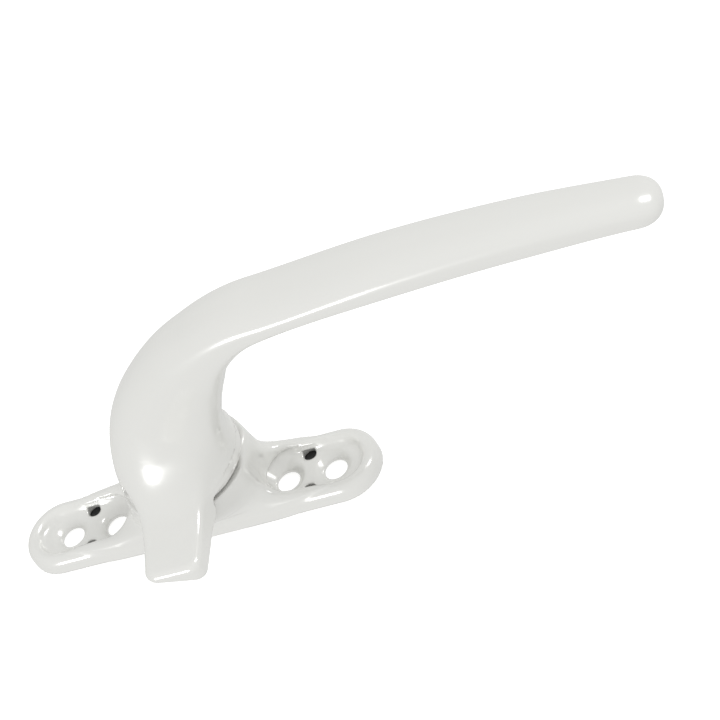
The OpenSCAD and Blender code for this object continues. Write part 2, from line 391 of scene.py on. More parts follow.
class Graph:
    """A node tree that nodes are added to by type."""

    def __init__(self, tree: bpy.types.NodeTree) -> None:
        """Starts from an empty tree."""
        self.tree = tree
        tree.nodes.clear()

    def add(
        self, kind: str, settings: dict[str, Any], inputs: dict[Any, Any], output: int | str = 0
    ) -> Link | None:
        """Adds a node.

        Args:
            kind: the node's type.
            settings: its own properties, set first. A ramp's stops are (position, colour) pairs.
            inputs: socket name or number to a value or a Link.
            output: which output to return.

        Returns:
            The chosen output, or None from a node that has no outputs.
        """
        node = self.tree.nodes.new(kind)
        for key, value in settings.items():
            if key == "stops":
                for place, (position, colour) in zip(self._stops(node, len(value)), value):
                    place.position, place.color = position, colour
            else:
                setattr(node, key, value)
        for key, value in inputs.items():
            if isinstance(value, Link):
                self.tree.links.new(value.socket, node.inputs[key])
            else:
                node.inputs[key].default_value = value
        return Link(self, node.outputs[output]) if len(node.outputs) else None

    @staticmethod
    def _stops(node: bpy.types.Node, count: int) -> list[Any]:
        """Gives a colour ramp as many stops as are wanted.

        Args:
            node: the ramp's node.
            count: the number of stops.

        Returns:
            The stops.
        """
        stops = node.color_ramp.elements
        while len(stops) < count:
            stops.new(1.0)
        return list(stops)


# ---------- finishes ----------


@dataclass(frozen=True)
class Finish:
    """A finish made of slow and fine variation over one base.

    Attributes:
        name: name of the material.
        light: base colour where it is lightest.
        dark: base colour where it is darkest.
        roughness: lowest and highest roughness.
        metallic: 1 for bare metal.
        patch: size in metres of the slow colour variation.
        grain: size in metres of the fine relief.
        relief: height in metres of the fine relief.
        stretch: how much longer the grain is along X, Y and Z.
        coat: weight of a clear gloss layer.
        coat_roughness: roughness of that layer.
        ramp: where the darkest and the lightest colour lie in the slow noise.
        slow_share: share of the slow noise in the roughness.
        fine_share: share of the fine noise in the roughness.
    """

    name: str
    light: tuple[float, float, float]
    dark: tuple[float, float, float]
    roughness: tuple[float, float]
    metallic: float = 0.0
    patch: float = 0.02
    grain: float = 0.0008
    relief: float = 0.000004
    stretch: tuple[float, float, float] = (1.0, 1.0, 1.0)
    coat: float = 0.0
    coat_roughness: float = 0.08
    ramp: tuple[float, float] = (0.35, 0.65)
    slow_share: float = 0.6
    fine_share: float = 0.4

    def material(self) -> bpy.types.Material:
        """Builds the material.

        Returns:
            The material, from Object coordinates.
        """
        made = bpy.data.materials.new(self.name)
        made.use_nodes = True
        graph = Graph(made.node_tree)
        place = graph.add("ShaderNodeTexCoord", {}, {}, "Object")
        spread = {"Vector": place, "Scale": 1 / self.patch, "Detail": 3.0}
        slow = graph.add("ShaderNodeTexNoise", {}, spread)
        scale = tuple(1 / (self.grain * s) for s in self.stretch)
        near = graph.add("ShaderNodeMapping", {}, {"Vector": place, "Scale": scale})
        fine = graph.add("ShaderNodeTexNoise", {}, {"Vector": near, "Scale": 1.0, "Detail": 2.0})
        stops = [(self.ramp[0], (*self.dark, 1.0)), (self.ramp[1], (*self.light, 1.0))]
        colour = graph.add("ShaderNodeValToRGB", {"stops": stops}, {"Fac": slow})
        low, high = self.roughness
        rough = low + (slow * self.slow_share + fine * self.fine_share) * (high - low)
        bump = graph.add(
            "ShaderNodeBump", {}, {"Height": fine, "Distance": self.relief, "Strength": 1.0}, "Normal"
        )
        surface = graph.add(
            "ShaderNodeBsdfPrincipled",
            {},
            {
                "Base Color": colour,
                "Roughness": rough,
                "Metallic": self.metallic,
                "Coat Weight": self.coat,
                "Coat Roughness": self.coat_roughness,
                "Normal": bump,
            },
        )
        graph.add("ShaderNodeOutputMaterial", {}, {"Surface": surface})
        return made


POWDER_COAT = Finish(
    "white_powder_coat",
    light=(0.80, 0.80, 0.775),
    dark=(0.785, 0.785, 0.757),
    roughness=(0.20, 0.27),
    patch=0.03,
    grain=0.0012,
    relief=0.0000035,
    coat=0.15,
)
ZINC = Finish(
    "zinc_plate",
    light=(0.70, 0.71, 0.72),
    dark=(0.58, 0.60, 0.63),
    roughness=(0.28, 0.42),
    metallic=1.0,
    patch=0.006,
    grain=0.0003,
    relief=0.000003,
    stretch=(1.0, 1.0, 0.2),
)
SPRING_STEEL = Finish(
    "spring_steel",
    light=(0.48, 0.49, 0.52),
    dark=(0.36, 0.37, 0.41),
    roughness=(0.25, 0.38),
    metallic=1.0,
    patch=0.005,
    grain=0.0002,
    relief=0.000002,
    stretch=(8.0, 1.0, 1.0),
)
ACETAL = Finish(
    "acetal",
    light=(0.84, 0.82, 0.75),
    dark=(0.79, 0.77, 0.70),
    roughness=(0.34, 0.46),
    patch=0.008,
    grain=0.0005,
    relief=0.000003,
)
RUBBER = Finish(
    "black_rubber",
    light=(0.022, 0.022, 0.023),
    dark=(0.014, 0.014, 0.015),
    roughness=(0.62, 0.80),
    patch=0.01,
    grain=0.0004,
    relief=0.00003,
)


class Slot(enum.Enum):
    """The record's material slots, with the finish of each."""

    CASTING = ("white_powder_coat", POWDER_COAT)
    PLATED = ("zinc_plated_steel", ZINC)
    SPRING = ("spring_steel", SPRING_STEEL)
    PLASTIC = ("acetal", ACETAL)
    SEAL = ("black_rubber", RUBBER)

    @property
    def material(self) -> bpy.types.Material:
        """The slot's material, built once."""
        finish = self.value[1]
        return bpy.data.materials.get(finish.name) or finish.material()

    def dress(self, piece: bpy.types.Object) -> None:
        """Gives a piece this finish."""
        piece.data.materials.clear()
        piece.data.materials.append(self.material)

    def place(self, piece: bpy.types.Object, body: str, node: str) -> None:
        """Dresses a new piece and puts it on a body in place of a CAD node.

        Args:
            piece: the piece.
            body: the body that it moves with.
            node: the CAD node that it stands for.
        """
        self.dress(piece)
        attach(piece, body)
        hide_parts(node)
        LOG.info("%s: %d faces on %s", piece.name, len(piece.data.polygons), body)


# ---------- castings ----------


@dataclass
class Pedestal:
    """The raised middle of the plate: round at the top, stretched into the wings below."""

    pivot_x: float = 2.5
    top: float = 17.0
    ring_r: float = 14.4
    flare: float = 26.0
    flare_z: float = 3.6
    waist_z: float = 3.0
    shoulder_z: float = 10.6
    least_above: float = 0.3
    wing_r: float = 39.0
    plate_r: float = 9.2
    foot_in: float = 0.9
    round_h: float = 5.0
    squareness: float = 1.5
    probe: float = 0.05
    least_slope: float = 0.01

    def reach(self, z: Array) -> Array:
        """Works out the half length, which flares towards the wings.

        Args:
            z: heights.

        Returns:
            Half length at each height.
        """
        above = np.maximum(z - self.flare_z, self.least_above)
        grown = self.ring_r + self.flare * (1 / above - 1 / (self.top - self.flare_z))
        return np.minimum(grown, self.wing_r)

    def waist(self, z: Array) -> Array:
        """Half width at a height."""
        foot = self.plate_r - self.foot_in
        return foot + (self.ring_r - foot) * ease((z - self.waist_z) / (self.shoulder_z - self.waist_z))

    def middle(self, z: Array) -> Array:
        """Where the middle is along X at a height."""
        return self.pivot_x * ease((z - self.flare_z) / self.round_h)

    def solid(self, x: Array, y: Array, z: Array) -> Array:
        """Field of the pedestal, scaled by its slope so that it is close to a distance.

        Args:
            x: X of the points.
            y: Y of the points.
            z: Z of the points.

        Returns:
            Distance to the solid.
        """

        def level(x: Array, y: Array, z: Array) -> Array:
            """Oval level: 0 on the surface, and squarer low down."""
            a, b = self.reach(z), self.waist(z)
            power = 2 + self.squareness * (1 - ease((z - self.flare_z) / self.round_h))
            along = np.maximum(np.abs((x - self.middle(z)) / a), 1e-3)
            across = np.maximum(np.abs(y / b), 1e-3)
            return (along**power + across**power) ** (1 / power) - 1

        h = self.probe
        value = level(x, y, z)
        shifted = (level(x + h, y, z), level(x, y + h, z), level(x, y, z + h))
        slope = [(s - value) / h for s in shifted]
        steep = np.sqrt(slope[0] ** 2 + slope[1] ** 2 + slope[2] ** 2)
        return value / np.maximum(steep, self.least_slope)


@dataclass
class BasePlate:
    """The screwed-down plate with its two recessed wings and the pedestal."""

    length: float = 88.0
    width: float = 18.4
    rail_h: float = 4.45
    rail_round: float = 2.2
    draft: float = 0.02
    floor_h: float = 2.4
    recess_in: float = 18.6
    recess_end_lean: float = 0.14
    recess_end_h: float = 5.0
    recess_left: float = 1.4
    recess_out: float = 40.0
    recess_w: float = 10.4
    recess_lean: float = 0.42
    recess_top: float = 4.3
    recess_corner: Fade = Fade(ends=1.2, extra=3.8, start=23.0, width=6.0)
    recess_lip: Fade = Fade(ends=1.3, extra=1.5, start=26.0, width=9.0)
    hole_x: tuple[float, float] = (21.5, 33.0)
    hole_r: float = 2.7
    dish_r: float = 4.3
    seat_h: float = 1.0
    dish_soft: float = 0.5
    dish_join: float = 0.8
    dish_rim: float = 0.8
    clip_r: float = 1.6
    clip_y: float = 5.0
    clip_limit: float = 7.2
    clip_roof: float = 3.1
    clip_rim: float = 0.25
    rim_t: float = 1.5
    pad_t: float = 1.2
    boss_r: float = 4.2
    cavity_l: float = 22.0
    cavity_r: float = 7.4
    web_z: float = 9.0
    bush_r: float = 6.5
    washer_r: float = 12.9
    washer_z: float = 16.0
    rim: float = 0.7
    rim_z: float = 8.0
    rim_h: float = 6.0
    rim_soft: float = 2.0
    pedestal_foot: float = 0.5
    fillet: Fade = Fade(ends=0.6, extra=2.6, start=32.0, width=14.0)
    seam_in: float = 12.95
    seam_out: float = 14.95
    seam_z: float = 15.7
    seam_rim: float = 0.3
    space_low: tuple[float, float, float] = (-45.0, -16.0, -1.0)
    space_high: tuple[float, float, float] = (45.0, 16.0, 18.0)
    step: float = 0.32
    quick_step: float = 0.6
    pedestal: Pedestal = field(default_factory=Pedestal)

    def wings(self, x: Array, y: Array, z: Array) -> Array:
        """The plate itself, with rounded rails.

        Args:
            x: X of the points.
            y: Y of the points.
            z: Z of the points.

        Returns:
            Distance to the solid.
        """
        half = self.length / 2
        plan = stadium(x, y, -half, half, self.width / 2) + self.draft * z
        return np.maximum(slab(plan, z, -5.0, self.rail_h, self.rail_round), -z)

    def recess(self, x: Array, y: Array, z: Array) -> Array:
        """Both recesses, whose walls lean outwards from a rounded floor.

        Args:
            x: X of the points.
            y: Y of the points.
            z: Z of the points.

        Returns:
            Distance to the solid.
        """
        spread = np.clip(z - self.floor_h, 0.0, self.recess_top - self.floor_h) * self.recess_lean
        near = self.recess_in - np.clip(z - self.floor_h, 0.0, self.recess_end_h) * self.recess_end_lean
        near = near - self.recess_left * (x < 0)
        plan = stadium(np.abs(x), y, near, self.recess_out, self.recess_w / 2) - spread
        return common(plan, self.floor_h - z, self.recess_corner.at(x))

    def screw_holes(self, x: Array, y: Array, z: Array) -> Array:
        """The four holes with their dished seats.

        Args:
            x: X of the points.
            y: Y of the points.
            z: Z of the points.

        Returns:
            Distance to the solid.
        """
        holes = None
        for hole_x in self.hole_x:
            across = np.hypot(np.abs(x) - hole_x, y)
            slope = (self.floor_h - self.seat_h) / (self.dish_r - self.hole_r)
            dish = (across - self.hole_r) * slope + self.seat_h - z
            both = join(across - self.hole_r + 0 * z, dish, self.dish_soft)
            holes = both if holes is None else join(holes, both, self.dish_join)
        return np.maximum(holes, z - self.recess_top)

    def clip_pockets(self, x: Array, y: Array, z: Array) -> Array:
        """Four round pockets that run half under the rails.

        Args:
            x: X of the points.
            y: Y of the points.
            z: Z of the points.

        Returns:
            Distance to the solid.
        """
        middle = sum(self.hole_x) / 2
        plan = disc(np.abs(x), np.abs(y), middle, self.clip_y, self.clip_r)
        return np.maximum(np.maximum(plan, np.abs(y) - self.clip_limit), z - self.clip_roof)

    def back(self, x: Array, y: Array, z: Array) -> Array:
        """The hollow back: a bed for the pad, and the space for the pivot parts.

        Args:
            x: X of the points.
            y: Y of the points.
            z: Z of the points.

        Returns:
            Distance to the solid.
        """
        px = self.pedestal.pivot_x
        half, r = self.length / 2 - self.rim_t, self.width / 2 - self.rim_t
        bed = np.maximum(stadium(x, y, -half, half, r), z - self.pad_t)
        for hole_x in self.hole_x:
            bed = np.maximum(bed, self.boss_r - np.hypot(np.abs(x) - hole_x, y))
        well = stadium(x, y, px - self.cavity_l / 2, px + self.cavity_l / 2, self.cavity_r)
        hollow = np.minimum(bed, np.maximum(well, z - self.web_z))
        hollow = np.minimum(hollow, disc(x, y, px, 0.0, self.bush_r) + 0 * z)
        return np.minimum(hollow, np.maximum(disc(x, y, px, 0.0, self.washer_r), self.washer_z - z))

    def seam(self, x: Array, y: Array, z: Array) -> Array:
        """The groove that the hub's skirt turns in.

        Args:
            x: X of the points.
            y: Y of the points.
            z: Z of the points.

        Returns:
            Distance to the solid.
        """
        around = np.hypot(x - self.pedestal.pivot_x, y)
        ring = np.maximum(around - self.seam_out, self.seam_in - around)
        return np.maximum(ring, self.seam_z - z)

    def solid(self, x: Array, y: Array, z: Array) -> Array:
        """The whole casting.

        Args:
            x: X of the points.
            y: Y of the points.
            z: Z of the points.

        Returns:
            Distance to the solid.
        """
        rim = self.rim * ease((z - self.rim_z) / self.rim_h)
        raised = common(self.pedestal.solid(x, y, z) - rim, z - self.pedestal.top, self.rim_soft)
        raised = np.maximum(raised, self.pedestal_foot - z)
        body = join(self.wings(x, y, z), raised, self.fillet.at(x))
        body = np.maximum(body, -z)
        body = carve(body, self.seam(x, y, z), self.seam_rim)
        body = carve(body, self.recess(x, y, z), self.recess_lip.at(x))
        body = carve(body, self.screw_holes(x, y, z), self.dish_rim)
        body = carve(body, self.clip_pockets(x, y, z), self.clip_rim)
        return np.maximum(body, -self.back(x, y, z))

    def build(self) -> None:
        """Skins and places the plate."""
        skinner = Skinner(self.space_low, self.space_high, self.step)
        Slot.CASTING.place(skinner.skin("base_casting", self.solid), "base", "base_plate")


@dataclass
class Lever:
    """The lever: hub, neck, bowed arm and spur in one casting."""

    pivot_x: float = 2.5
    hub_z: float = 17.3
    skirt_z: float = 16.3
    skirt_in: float = 13.4
    skirt_out: float = 14.6
    skirt_edge: float = 0.8
    rim_z: float = 17.15
    tip_x: float = 123.5
    tip_z: float = 54.75
    bow_r: float = 380.0
    arm_l: float = 87.0
    tip_slope: float = -7.4
    tip_round: float = 6.2
    neck_lean: float = -2.0
    neck_rise: float = 12.0
    neck_reach: float = 18.2
    arm_power: float = 2.3
    power_by: float = 0.07
    arm_square: float = 0.3
    square_from: float = 0.2
    square_to: float = 0.98
    square_in: float = 0.1
    square_out: float = 0.2
    cheek: float = 1.1
    cheek_in: float = 0.02
    cheek_to: float = 0.13
    cheek_out: float = 0.1
    least_slope: float = 0.02
    stations: tuple[tuple[float, float, float], ...] = (
        (0.000, 14.4, 14.4),
        (0.010, 14.3, 14.2),
        (0.022, 13.8, 13.4),
        (0.036, 13.3, 12.5),
        (0.052, 12.9, 11.3),
        (0.072, 12.6, 9.9),
        (0.095, 12.3, 8.7),
        (0.120, 11.9, 7.9),
        (0.170, 10.9, 7.6),
        (0.240, 8.9, 8.1),
        (0.300, 6.4, 8.2),
        (0.420, 3.7, 8.2),
        (0.600, 4.1, 7.8),
        (0.800, 4.2, 6.8),
        (1.00, 3.9, 5.8),
    )
    spur_x: float = 2.0
    spur_reach: float = 31.2
    spur_w: float = 18.0
    spur_shift: float = 1.4
    spur_end_w: float = 12.8
    spur_taper: float = 0.8
    spur_root: float = 4.0
    spur_corner: float = 2.6
    spur_edge: float = 1.5
    shift_out: float = 1.6
    spur_z: float = 12.4
    spur_top: float = 20.0
    spur_end_top: float = 18.0
    ramp: float = 0.26
    ramp_y: float = -25.0
    ramp_in: float = 5.0
    wedge_y: float = -2.0
    wedge_r: float = 26.0
    wedge_to: float = 0.8
    blend: float = 5.0
    sweep_fit: float = 1.3
    sweep_rim: float = 0.5
    seat_rim: float = 0.2
    spindle_r: float = 4.51
    spindle_grip: float = 15.0
    arm_points: int = 120
    neck_points: int = 160
    path_points: int = 361
    batch: int = 20000
    space_low: tuple[float, float, float] = (-16.0, -33.0, 11.0)
    space_high: tuple[float, float, float] = (126.0, 17.0, 65.0)
    step: float = 0.42
    quick_step: float = 0.8
    pedestal: Pedestal = field(default_factory=Pedestal)

    def __post_init__(self) -> None:
        """Works out the middle line of the lever."""
        slope = math.radians(self.tip_slope)
        back = np.linspace(self.arm_l, 0.0, self.arm_points)
        turn = slope + back / self.bow_r
        arm = np.stack(
            [
                self.tip_x - self.bow_r * (np.sin(turn) - math.sin(slope)),
                self.tip_z + self.bow_r * (np.cos(turn) - math.cos(slope)),
            ],
            axis=1,
        )
        root = arm[0]
        heading = np.array([math.cos(turn[0]), math.sin(turn[0])])
        corners = [
            np.array([self.pivot_x, self.hub_z]),
            np.array([self.pivot_x + self.neck_lean, self.hub_z + self.neck_rise]),
            root - self.neck_reach * heading,
            root,
        ]
        u = np.linspace(0.0, 1.0, self.neck_points)[:, None]
        weights = [(1 - u) ** 3, 3 * (1 - u) ** 2 * u, 3 * (1 - u) * u * u, u**3]
        neck = sum(w * c for w, c in zip(weights, corners))
        path = np.concatenate([neck, arm[1:]])
        run = np.concatenate([[0.0], np.cumsum(np.linalg.norm(np.diff(path, axis=0), axis=1))])
        self.total = float(run[-1])
        even = np.linspace(0.0, self.total - self.tip_round, self.path_points)
        self.path = np.stack([np.interp(even, run, path[:, n]) for n in (0, 1)], axis=1)
        self.run = even

    def follow(self, x: Array, z: Array) -> tuple[Array, Array, Array]:
        """Nearest place on the middle line to points of the XZ plane.

        Args:
            x: X of the points.
            z: Z of the points.

        Returns:
            Distance run along the line, distance off it, and distance past its end.
        """
        shape = np.broadcast(x, z).shape
        flat = np.stack([np.broadcast_to(x, shape).ravel(), np.broadcast_to(z, shape).ravel()], axis=1)
        nearest = np.empty(len(flat), np.int64)
        square = (self.path**2).sum(axis=1)
        for start in range(0, len(flat), self.batch):
            part = flat[start : start + self.batch]
            nearest[start : start + self.batch] = np.argmin(square - 2 * part @ self.path.T, axis=1)
        i = np.clip(nearest, 1, len(self.path) - 2)
        tangent = self.path[i + 1] - self.path[i - 1]
        tangent /= np.linalg.norm(tangent, axis=1)[:, None]
        offset = flat - self.path[nearest]
        along = (offset * tangent).sum(axis=1)
        aside = offset[:, 0] * tangent[:, 1] - offset[:, 1] * tangent[:, 0]
        end = self.run[-1]
        run = self.run[nearest] + along
        past = np.maximum(run - end, 0.0)
        return np.clip(run, 0.0, end).reshape(shape), aside.reshape(shape), past.reshape(shape)

    def arm(self, x: Array, y: Array, z: Array) -> Array:
        """Hub, neck and arm as one swept oval that ends in a round tip.

        Args:
            x: X of the points.
            y: Y of the points.
            z: Z of the points.

        Returns:
            Distance to the solid.
        """
        run, aside, past = self.follow(x, z)
        share = run / self.total
        a = table_curve(self.stations, 1, share)
        b = table_curve(self.stations, 2, share)
        swell = self.cheek * ease(share / self.cheek_in) * ease((self.cheek_to - share) / self.cheek_out)
        a = a + swell * (aside > 0)
        near_hub = (self.arm_power - 2) * ease(share / self.power_by)
        along_arm = self.arm_square * ease((share - self.square_from) / self.square_in)
        power = 2 + near_hub + along_arm * ease((self.square_to - share) / self.square_out)
        q = [np.maximum(np.abs(v), 1e-3) for v in (aside / a, y / b, past / self.tip_round)]
        level = (q[0] ** power + q[1] ** power + q[2] ** power) ** (1 / power)
        tilt = [v ** (power - 1) / size for v, size in zip(q, (a, b, self.tip_round))]
        steep = np.sqrt(tilt[0] ** 2 + tilt[1] ** 2 + tilt[2] ** 2) * level ** (1 - power)
        return (level - 1) / np.maximum(steep, self.least_slope)

    def spur(self, x: Array, y: Array, z: Array) -> Array:
        """The locking spur, a tapered block that runs out along -Y.

        Args:
            x: X of the points.
            y: Y of the points.
            z: Z of the points.

        Returns:
            Distance to the solid.
        """
        share = np.clip(-y / self.spur_reach, 0.0, 1.05)
        narrowing = (self.spur_end_w - self.spur_w) * np.maximum(share, 1e-3) ** self.spur_taper
        half = (self.spur_w + narrowing) / 2
        top = self.spur_top + (self.spur_end_top - self.spur_top) * share
        run = np.clip(y + self.wedge_y + self.wedge_r, 0.0, self.wedge_r * self.wedge_to)
        top = top + self.wedge_r - np.sqrt(self.wedge_r**2 - run**2 + 1e-6)
        corner = self.spur_corner
        middle = self.spur_x + self.spur_shift * (1 - ease(share * self.shift_out))
        side = np.abs(x - middle) - half + corner
        front = np.maximum(-y - self.spur_reach, y + self.spur_root) + corner
        plan = np.hypot(np.maximum(side, 0.0), np.maximum(front, 0.0))
        plan = plan + np.minimum(np.maximum(side, front), 0.0) - corner
        ramp = self.ramp * np.maximum(middle + half - x, 0.0) * ease((self.ramp_y - y) / self.ramp_in)
        return slab(plan, z, self.spur_z + ramp, top, self.spur_edge)

    def relief(self, x: Array, y: Array, z: Array) -> Array:
        """What the spur passes over as it turns: the pedestal with some room.

        Args:
            x: X of the points.
            y: Y of the points.
            z: Z of the points.

        Returns:
            Distance to the solid.
        """
        spread = self.pedestal.reach(z) + self.pivot_x - self.pedestal.middle(z) + self.sweep_fit
        around = np.hypot(x - self.pivot_x, y)
        return np.maximum(np.maximum(around - spread, self.skirt_out - around), z - self.rim_z)

    def solid(self, x: Array, y: Array, z: Array) -> Array:
        """The whole casting.

        Args:
            x: X of the points.
            y: Y of the points.
            z: Z of the points.

        Returns:
            Distance to the solid.
        """
        arm = common(self.arm(x, y, z), self.skirt_z - z, self.skirt_edge)
        body = join(arm, self.spur(x, y, z), self.blend)
        body = carve(body, self.relief(x, y, z), self.sweep_rim)
        body = carve(body, self.seat(x, y, z), self.seat_rim)
        bore = np.hypot(x - self.pivot_x, y) - self.spindle_r
        return np.maximum(body, -np.maximum(bore, z - self.hub_z - self.spindle_grip))

    def seat(self, x: Array, y: Array, z: Array) -> Array:
        """The flat underside of the hub, with a skirt round its edge.

        Args:
            x: X of the points.
            y: Y of the points.
            z: Z of the points.

        Returns:
            Distance to the solid.
        """
        around = np.hypot(x - self.pivot_x, y)
        flat = np.maximum(around - self.skirt_in, z - self.hub_z)
        return np.minimum(flat, np.maximum(around - self.skirt_out, z - self.skirt_z))

    def build(self) -> None:
        """Skins and places the lever."""
        skinner = Skinner(self.space_low, self.space_high, self.step)
        Slot.CASTING.place(skinner.skin("lever_casting", self.solid), "lever", "lever")


# ---------- sprung parts ----------


@dataclass
class NodePart:
    """A piece that a Geometry Nodes tree makes from named sizes in metres."""

    name: str
    sizes: dict[str, float]

    def tree(self) -> tuple[Graph, dict[str, Link]]:
        """Starts a tree with one input for each size.

        Returns:
            The tree, and its inputs as links.
        """
        tree = bpy.data.node_groups.new(self.name, "GeometryNodeTree")
        for size in self.sizes:
            tree.interface.new_socket(size, in_out="INPUT", socket_type="NodeSocketFloat")
        tree.interface.new_socket("Geometry", in_out="OUTPUT", socket_type="NodeSocketGeometry")
        graph = Graph(tree)
        start = graph.add("NodeGroupInput", {}, {})
        return graph, {size: start.out(size) for size in self.sizes}

    def make(self, graph: Graph, shape: Link, material: bpy.types.Material) -> bpy.types.Object:
        """Ends the tree, runs it and keeps the result as a plain mesh.

        Args:
            graph: the tree.
            shape: its geometry so far.
            material: material of the result.

        Returns:
            The finished object at the origin.
        """
        real = graph.add("GeometryNodeRealizeInstances", {}, {"Geometry": shape})
        dressed = graph.add("GeometryNodeSetMaterial", {}, {"Geometry": real, "Material": material})
        graph.add("NodeGroupOutput", {}, {"Geometry": dressed})
        piece = bpy.data.objects.new(self.name, bpy.data.meshes.new(self.name))
        bpy.context.scene.collection.objects.link(piece)
        modifier = piece.modifiers.new("shape", "NODES")
        modifier.node_group = graph.tree
        for item in graph.tree.interface.items_tree:
            if item.in_out == "INPUT":
                modifier[item.identifier] = self.sizes[item.name]
        seen = bpy.context.evaluated_depsgraph_get()
        mesh = bpy.data.meshes.new_from_object(piece.evaluated_get(seen))
        piece.modifiers.clear()
        piece.data = mesh
        return piece


@dataclass
class WaveWasher:
    """A flat ring bent into waves, pressed between the web and the stop washer.

    Attributes:
        waves: number of waves round the ring.
        bore_room: gap to the spindle, in metres.
        thick_share: thickness as a share of the CAD ring's.
        wave_share: how far the ring rises and falls, as a share of the gap to the stop washer.
        points: points round the ring.
    """

    waves: int = 3
    bore_room: float = 0.00015
    thick_share: float = 0.6
    wave_share: float = 0.6
    points: int = 96

    def build(self) -> None:
        """Makes the washer along a circle that rises and falls."""
        low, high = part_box("wave_washer")
        outer = (high.x - low.x) / 2
        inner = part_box("spindle")[1].x - (low.x + high.x) / 2 + self.bore_room
        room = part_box("stop_washer")[1].z
        sizes = {
            "Radius": (outer + inner) / 2,
            "Width": outer - inner,
            "Thickness": (high.z - low.z) * self.thick_share,
            "Wave": (low.z - room) * self.wave_share,
            "Waves": float(self.waves),
            "Centre": (low.x + high.x) / 2,
            "Height": (low.z + high.z) / 2,
        }
        part = NodePart("wave_spring", sizes)
        graph, size = part.tree()
        circle = graph.add(
            "GeometryNodeCurvePrimitiveCircle", {}, {"Resolution": self.points, "Radius": size["Radius"]}
        )
        share = graph.add("GeometryNodeSplineParameter", {}, {}, "Factor")
        rise = (share * size["Waves"] * math.tau).sine() * size["Wave"] + size["Height"]
        offset = graph.add("ShaderNodeCombineXYZ", {}, {"X": size["Centre"], "Z": rise})
        path = graph.add("GeometryNodeSetPosition", {}, {"Geometry": circle, "Offset": offset})
        level = graph.add("GeometryNodeSetCurveNormal", {"mode": "Z_UP"}, {"Curve": path})
        flat = {"Width": size["Width"], "Height": size["Thickness"]}
        section = graph.add("GeometryNodeCurvePrimitiveQuadrilateral", {}, flat)
        ring = graph.add("GeometryNodeCurveToMesh", {}, {"Curve": level, "Profile Curve": section})
        Slot.SPRING.place(part.make(graph, ring, Slot.SPRING.material), "base", "wave_washer")


@dataclass
class LeafSprings:
    """Two bowed leaves, one on each side of the cam.

    Attributes:
        curl: full bow, in metres, before bow_share is applied.
        curl_level: shift of the whole bow, as a share of the curl.
        bow_share: how much of the curl shows, turned to bow towards the cam.
        length_share: length as a share of the CAD leaf's.
        thick_share: thickness as a share of the room beside the cam.
        cam_room: gap kept to the cam, in metres.
        points: points along a leaf.
    """

    curl: float = 0.0004
    curl_level: float = 0.6
    bow_share: float = -0.25
    length_share: float = 0.995
    thick_share: float = 0.8
    cam_room: float = 0.00005
    points: int = 41

    def build(self) -> None:
        """Makes one leaf along a line with curled ends, and sets it on both sides."""
        low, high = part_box("index_springs")
        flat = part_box("index_cam")[1].y
        thickness = high.y - flat - self.cam_room
        sizes = {
            "Length": (high.x - low.x) * self.length_share,
            "Height": high.z - low.z,
            "Thickness": thickness * self.thick_share,
            "Curl": self.curl,
            "Spread": (high.y + flat) / 2,
            "Centre": (low.x + high.x) / 2,
            "Level": (low.z + high.z) / 2,
        }
        part = NodePart("leaf_springs", sizes)
        graph, size = part.tree()
        end = graph.add("ShaderNodeCombineXYZ", {}, {"X": size["Length"] * 0.5})
        start = graph.add("ShaderNodeCombineXYZ", {}, {"X": size["Length"] * -0.5})
        line = graph.add("GeometryNodeCurvePrimitiveLine", {}, {"Start": start, "End": end})
        fine = graph.add("GeometryNodeResampleCurve", {}, {"Curve": line, "Count": self.points})
        share = graph.add("GeometryNodeSplineParameter", {}, {}, "Factor")
        bow = (share * math.pi).sine() * -1.0 * size["Curl"] + size["Curl"] * self.curl_level
        offset = graph.add("ShaderNodeCombineXYZ", {}, {"Y": bow * self.bow_share})
        path = graph.add("GeometryNodeSetPosition", {}, {"Geometry": fine, "Offset": offset})
        level = graph.add("GeometryNodeSetCurveNormal", {"mode": "Z_UP"}, {"Curve": path})
        strip = {"Width": size["Thickness"], "Height": size["Height"]}
        section = graph.add("GeometryNodeCurvePrimitiveQuadrilateral", {}, strip)
        leaf = graph.add(
            "GeometryNodeCurveToMesh", {}, {"Curve": level, "Profile Curve": section, "Fill Caps": True}
        )
        first = graph.add(
            "ShaderNodeCombineXYZ", {}, {"X": size["Centre"], "Y": size["Spread"] * -1.0, "Z": size["Level"]}
        )
        step = graph.add("ShaderNodeCombineXYZ", {}, {"Y": size["Spread"] * 2.0})
        places = graph.add("GeometryNodeMeshLine", {}, {"Count": 2, "Start Location": first, "Offset": step})
        index = graph.add("GeometryNodeInputIndex", {}, {})
        turned = graph.add("ShaderNodeCombineXYZ", {}, {"Z": index * math.pi})
        pair = graph.add(
            "GeometryNodeInstanceOnPoints", {}, {"Points": places, "Instance": leaf, "Rotation": turned}
        )
        Slot.SPRING.place(part.make(graph, pair, Slot.SPRING.material), "base", "index_springs")


@dataclass
class PivotParts:
    """Pivot parts whose CAD shape is kept, with the finish of each."""

    finishes: dict[str, Slot] = field(
        default_factory=lambda: {
            "spindle": Slot.PLATED,
            "stop_washer": Slot.PLATED,
            "plain_washer": Slot.PLATED,
            "retaining_ring": Slot.SPRING,
            "thrust_washer": Slot.PLASTIC,
            "pivot_bush": Slot.PLASTIC,
            "index_cam": Slot.PLASTIC,
            "back_pad": Slot.SEAL,
        }
    )

    def build(self) -> None:
        """Dresses each part."""
        for name, slot in self.finishes.items():
            slot.dress(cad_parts[name])
            LOG.info("%s: CAD shape with %s", name, slot.value[0])


# ---------- studio ----------


@dataclass(frozen=True)
class Softbox:
    """A rectangular light.

    Attributes:
        name: its name.
        at: where it stands.
        aim: the point that it faces.
        size: width and height.
        power: watts.
    """

    name: str
    at: tuple[float, float, float]
    aim: tuple[float, float, float]
    size: tuple[float, float]
    power: float


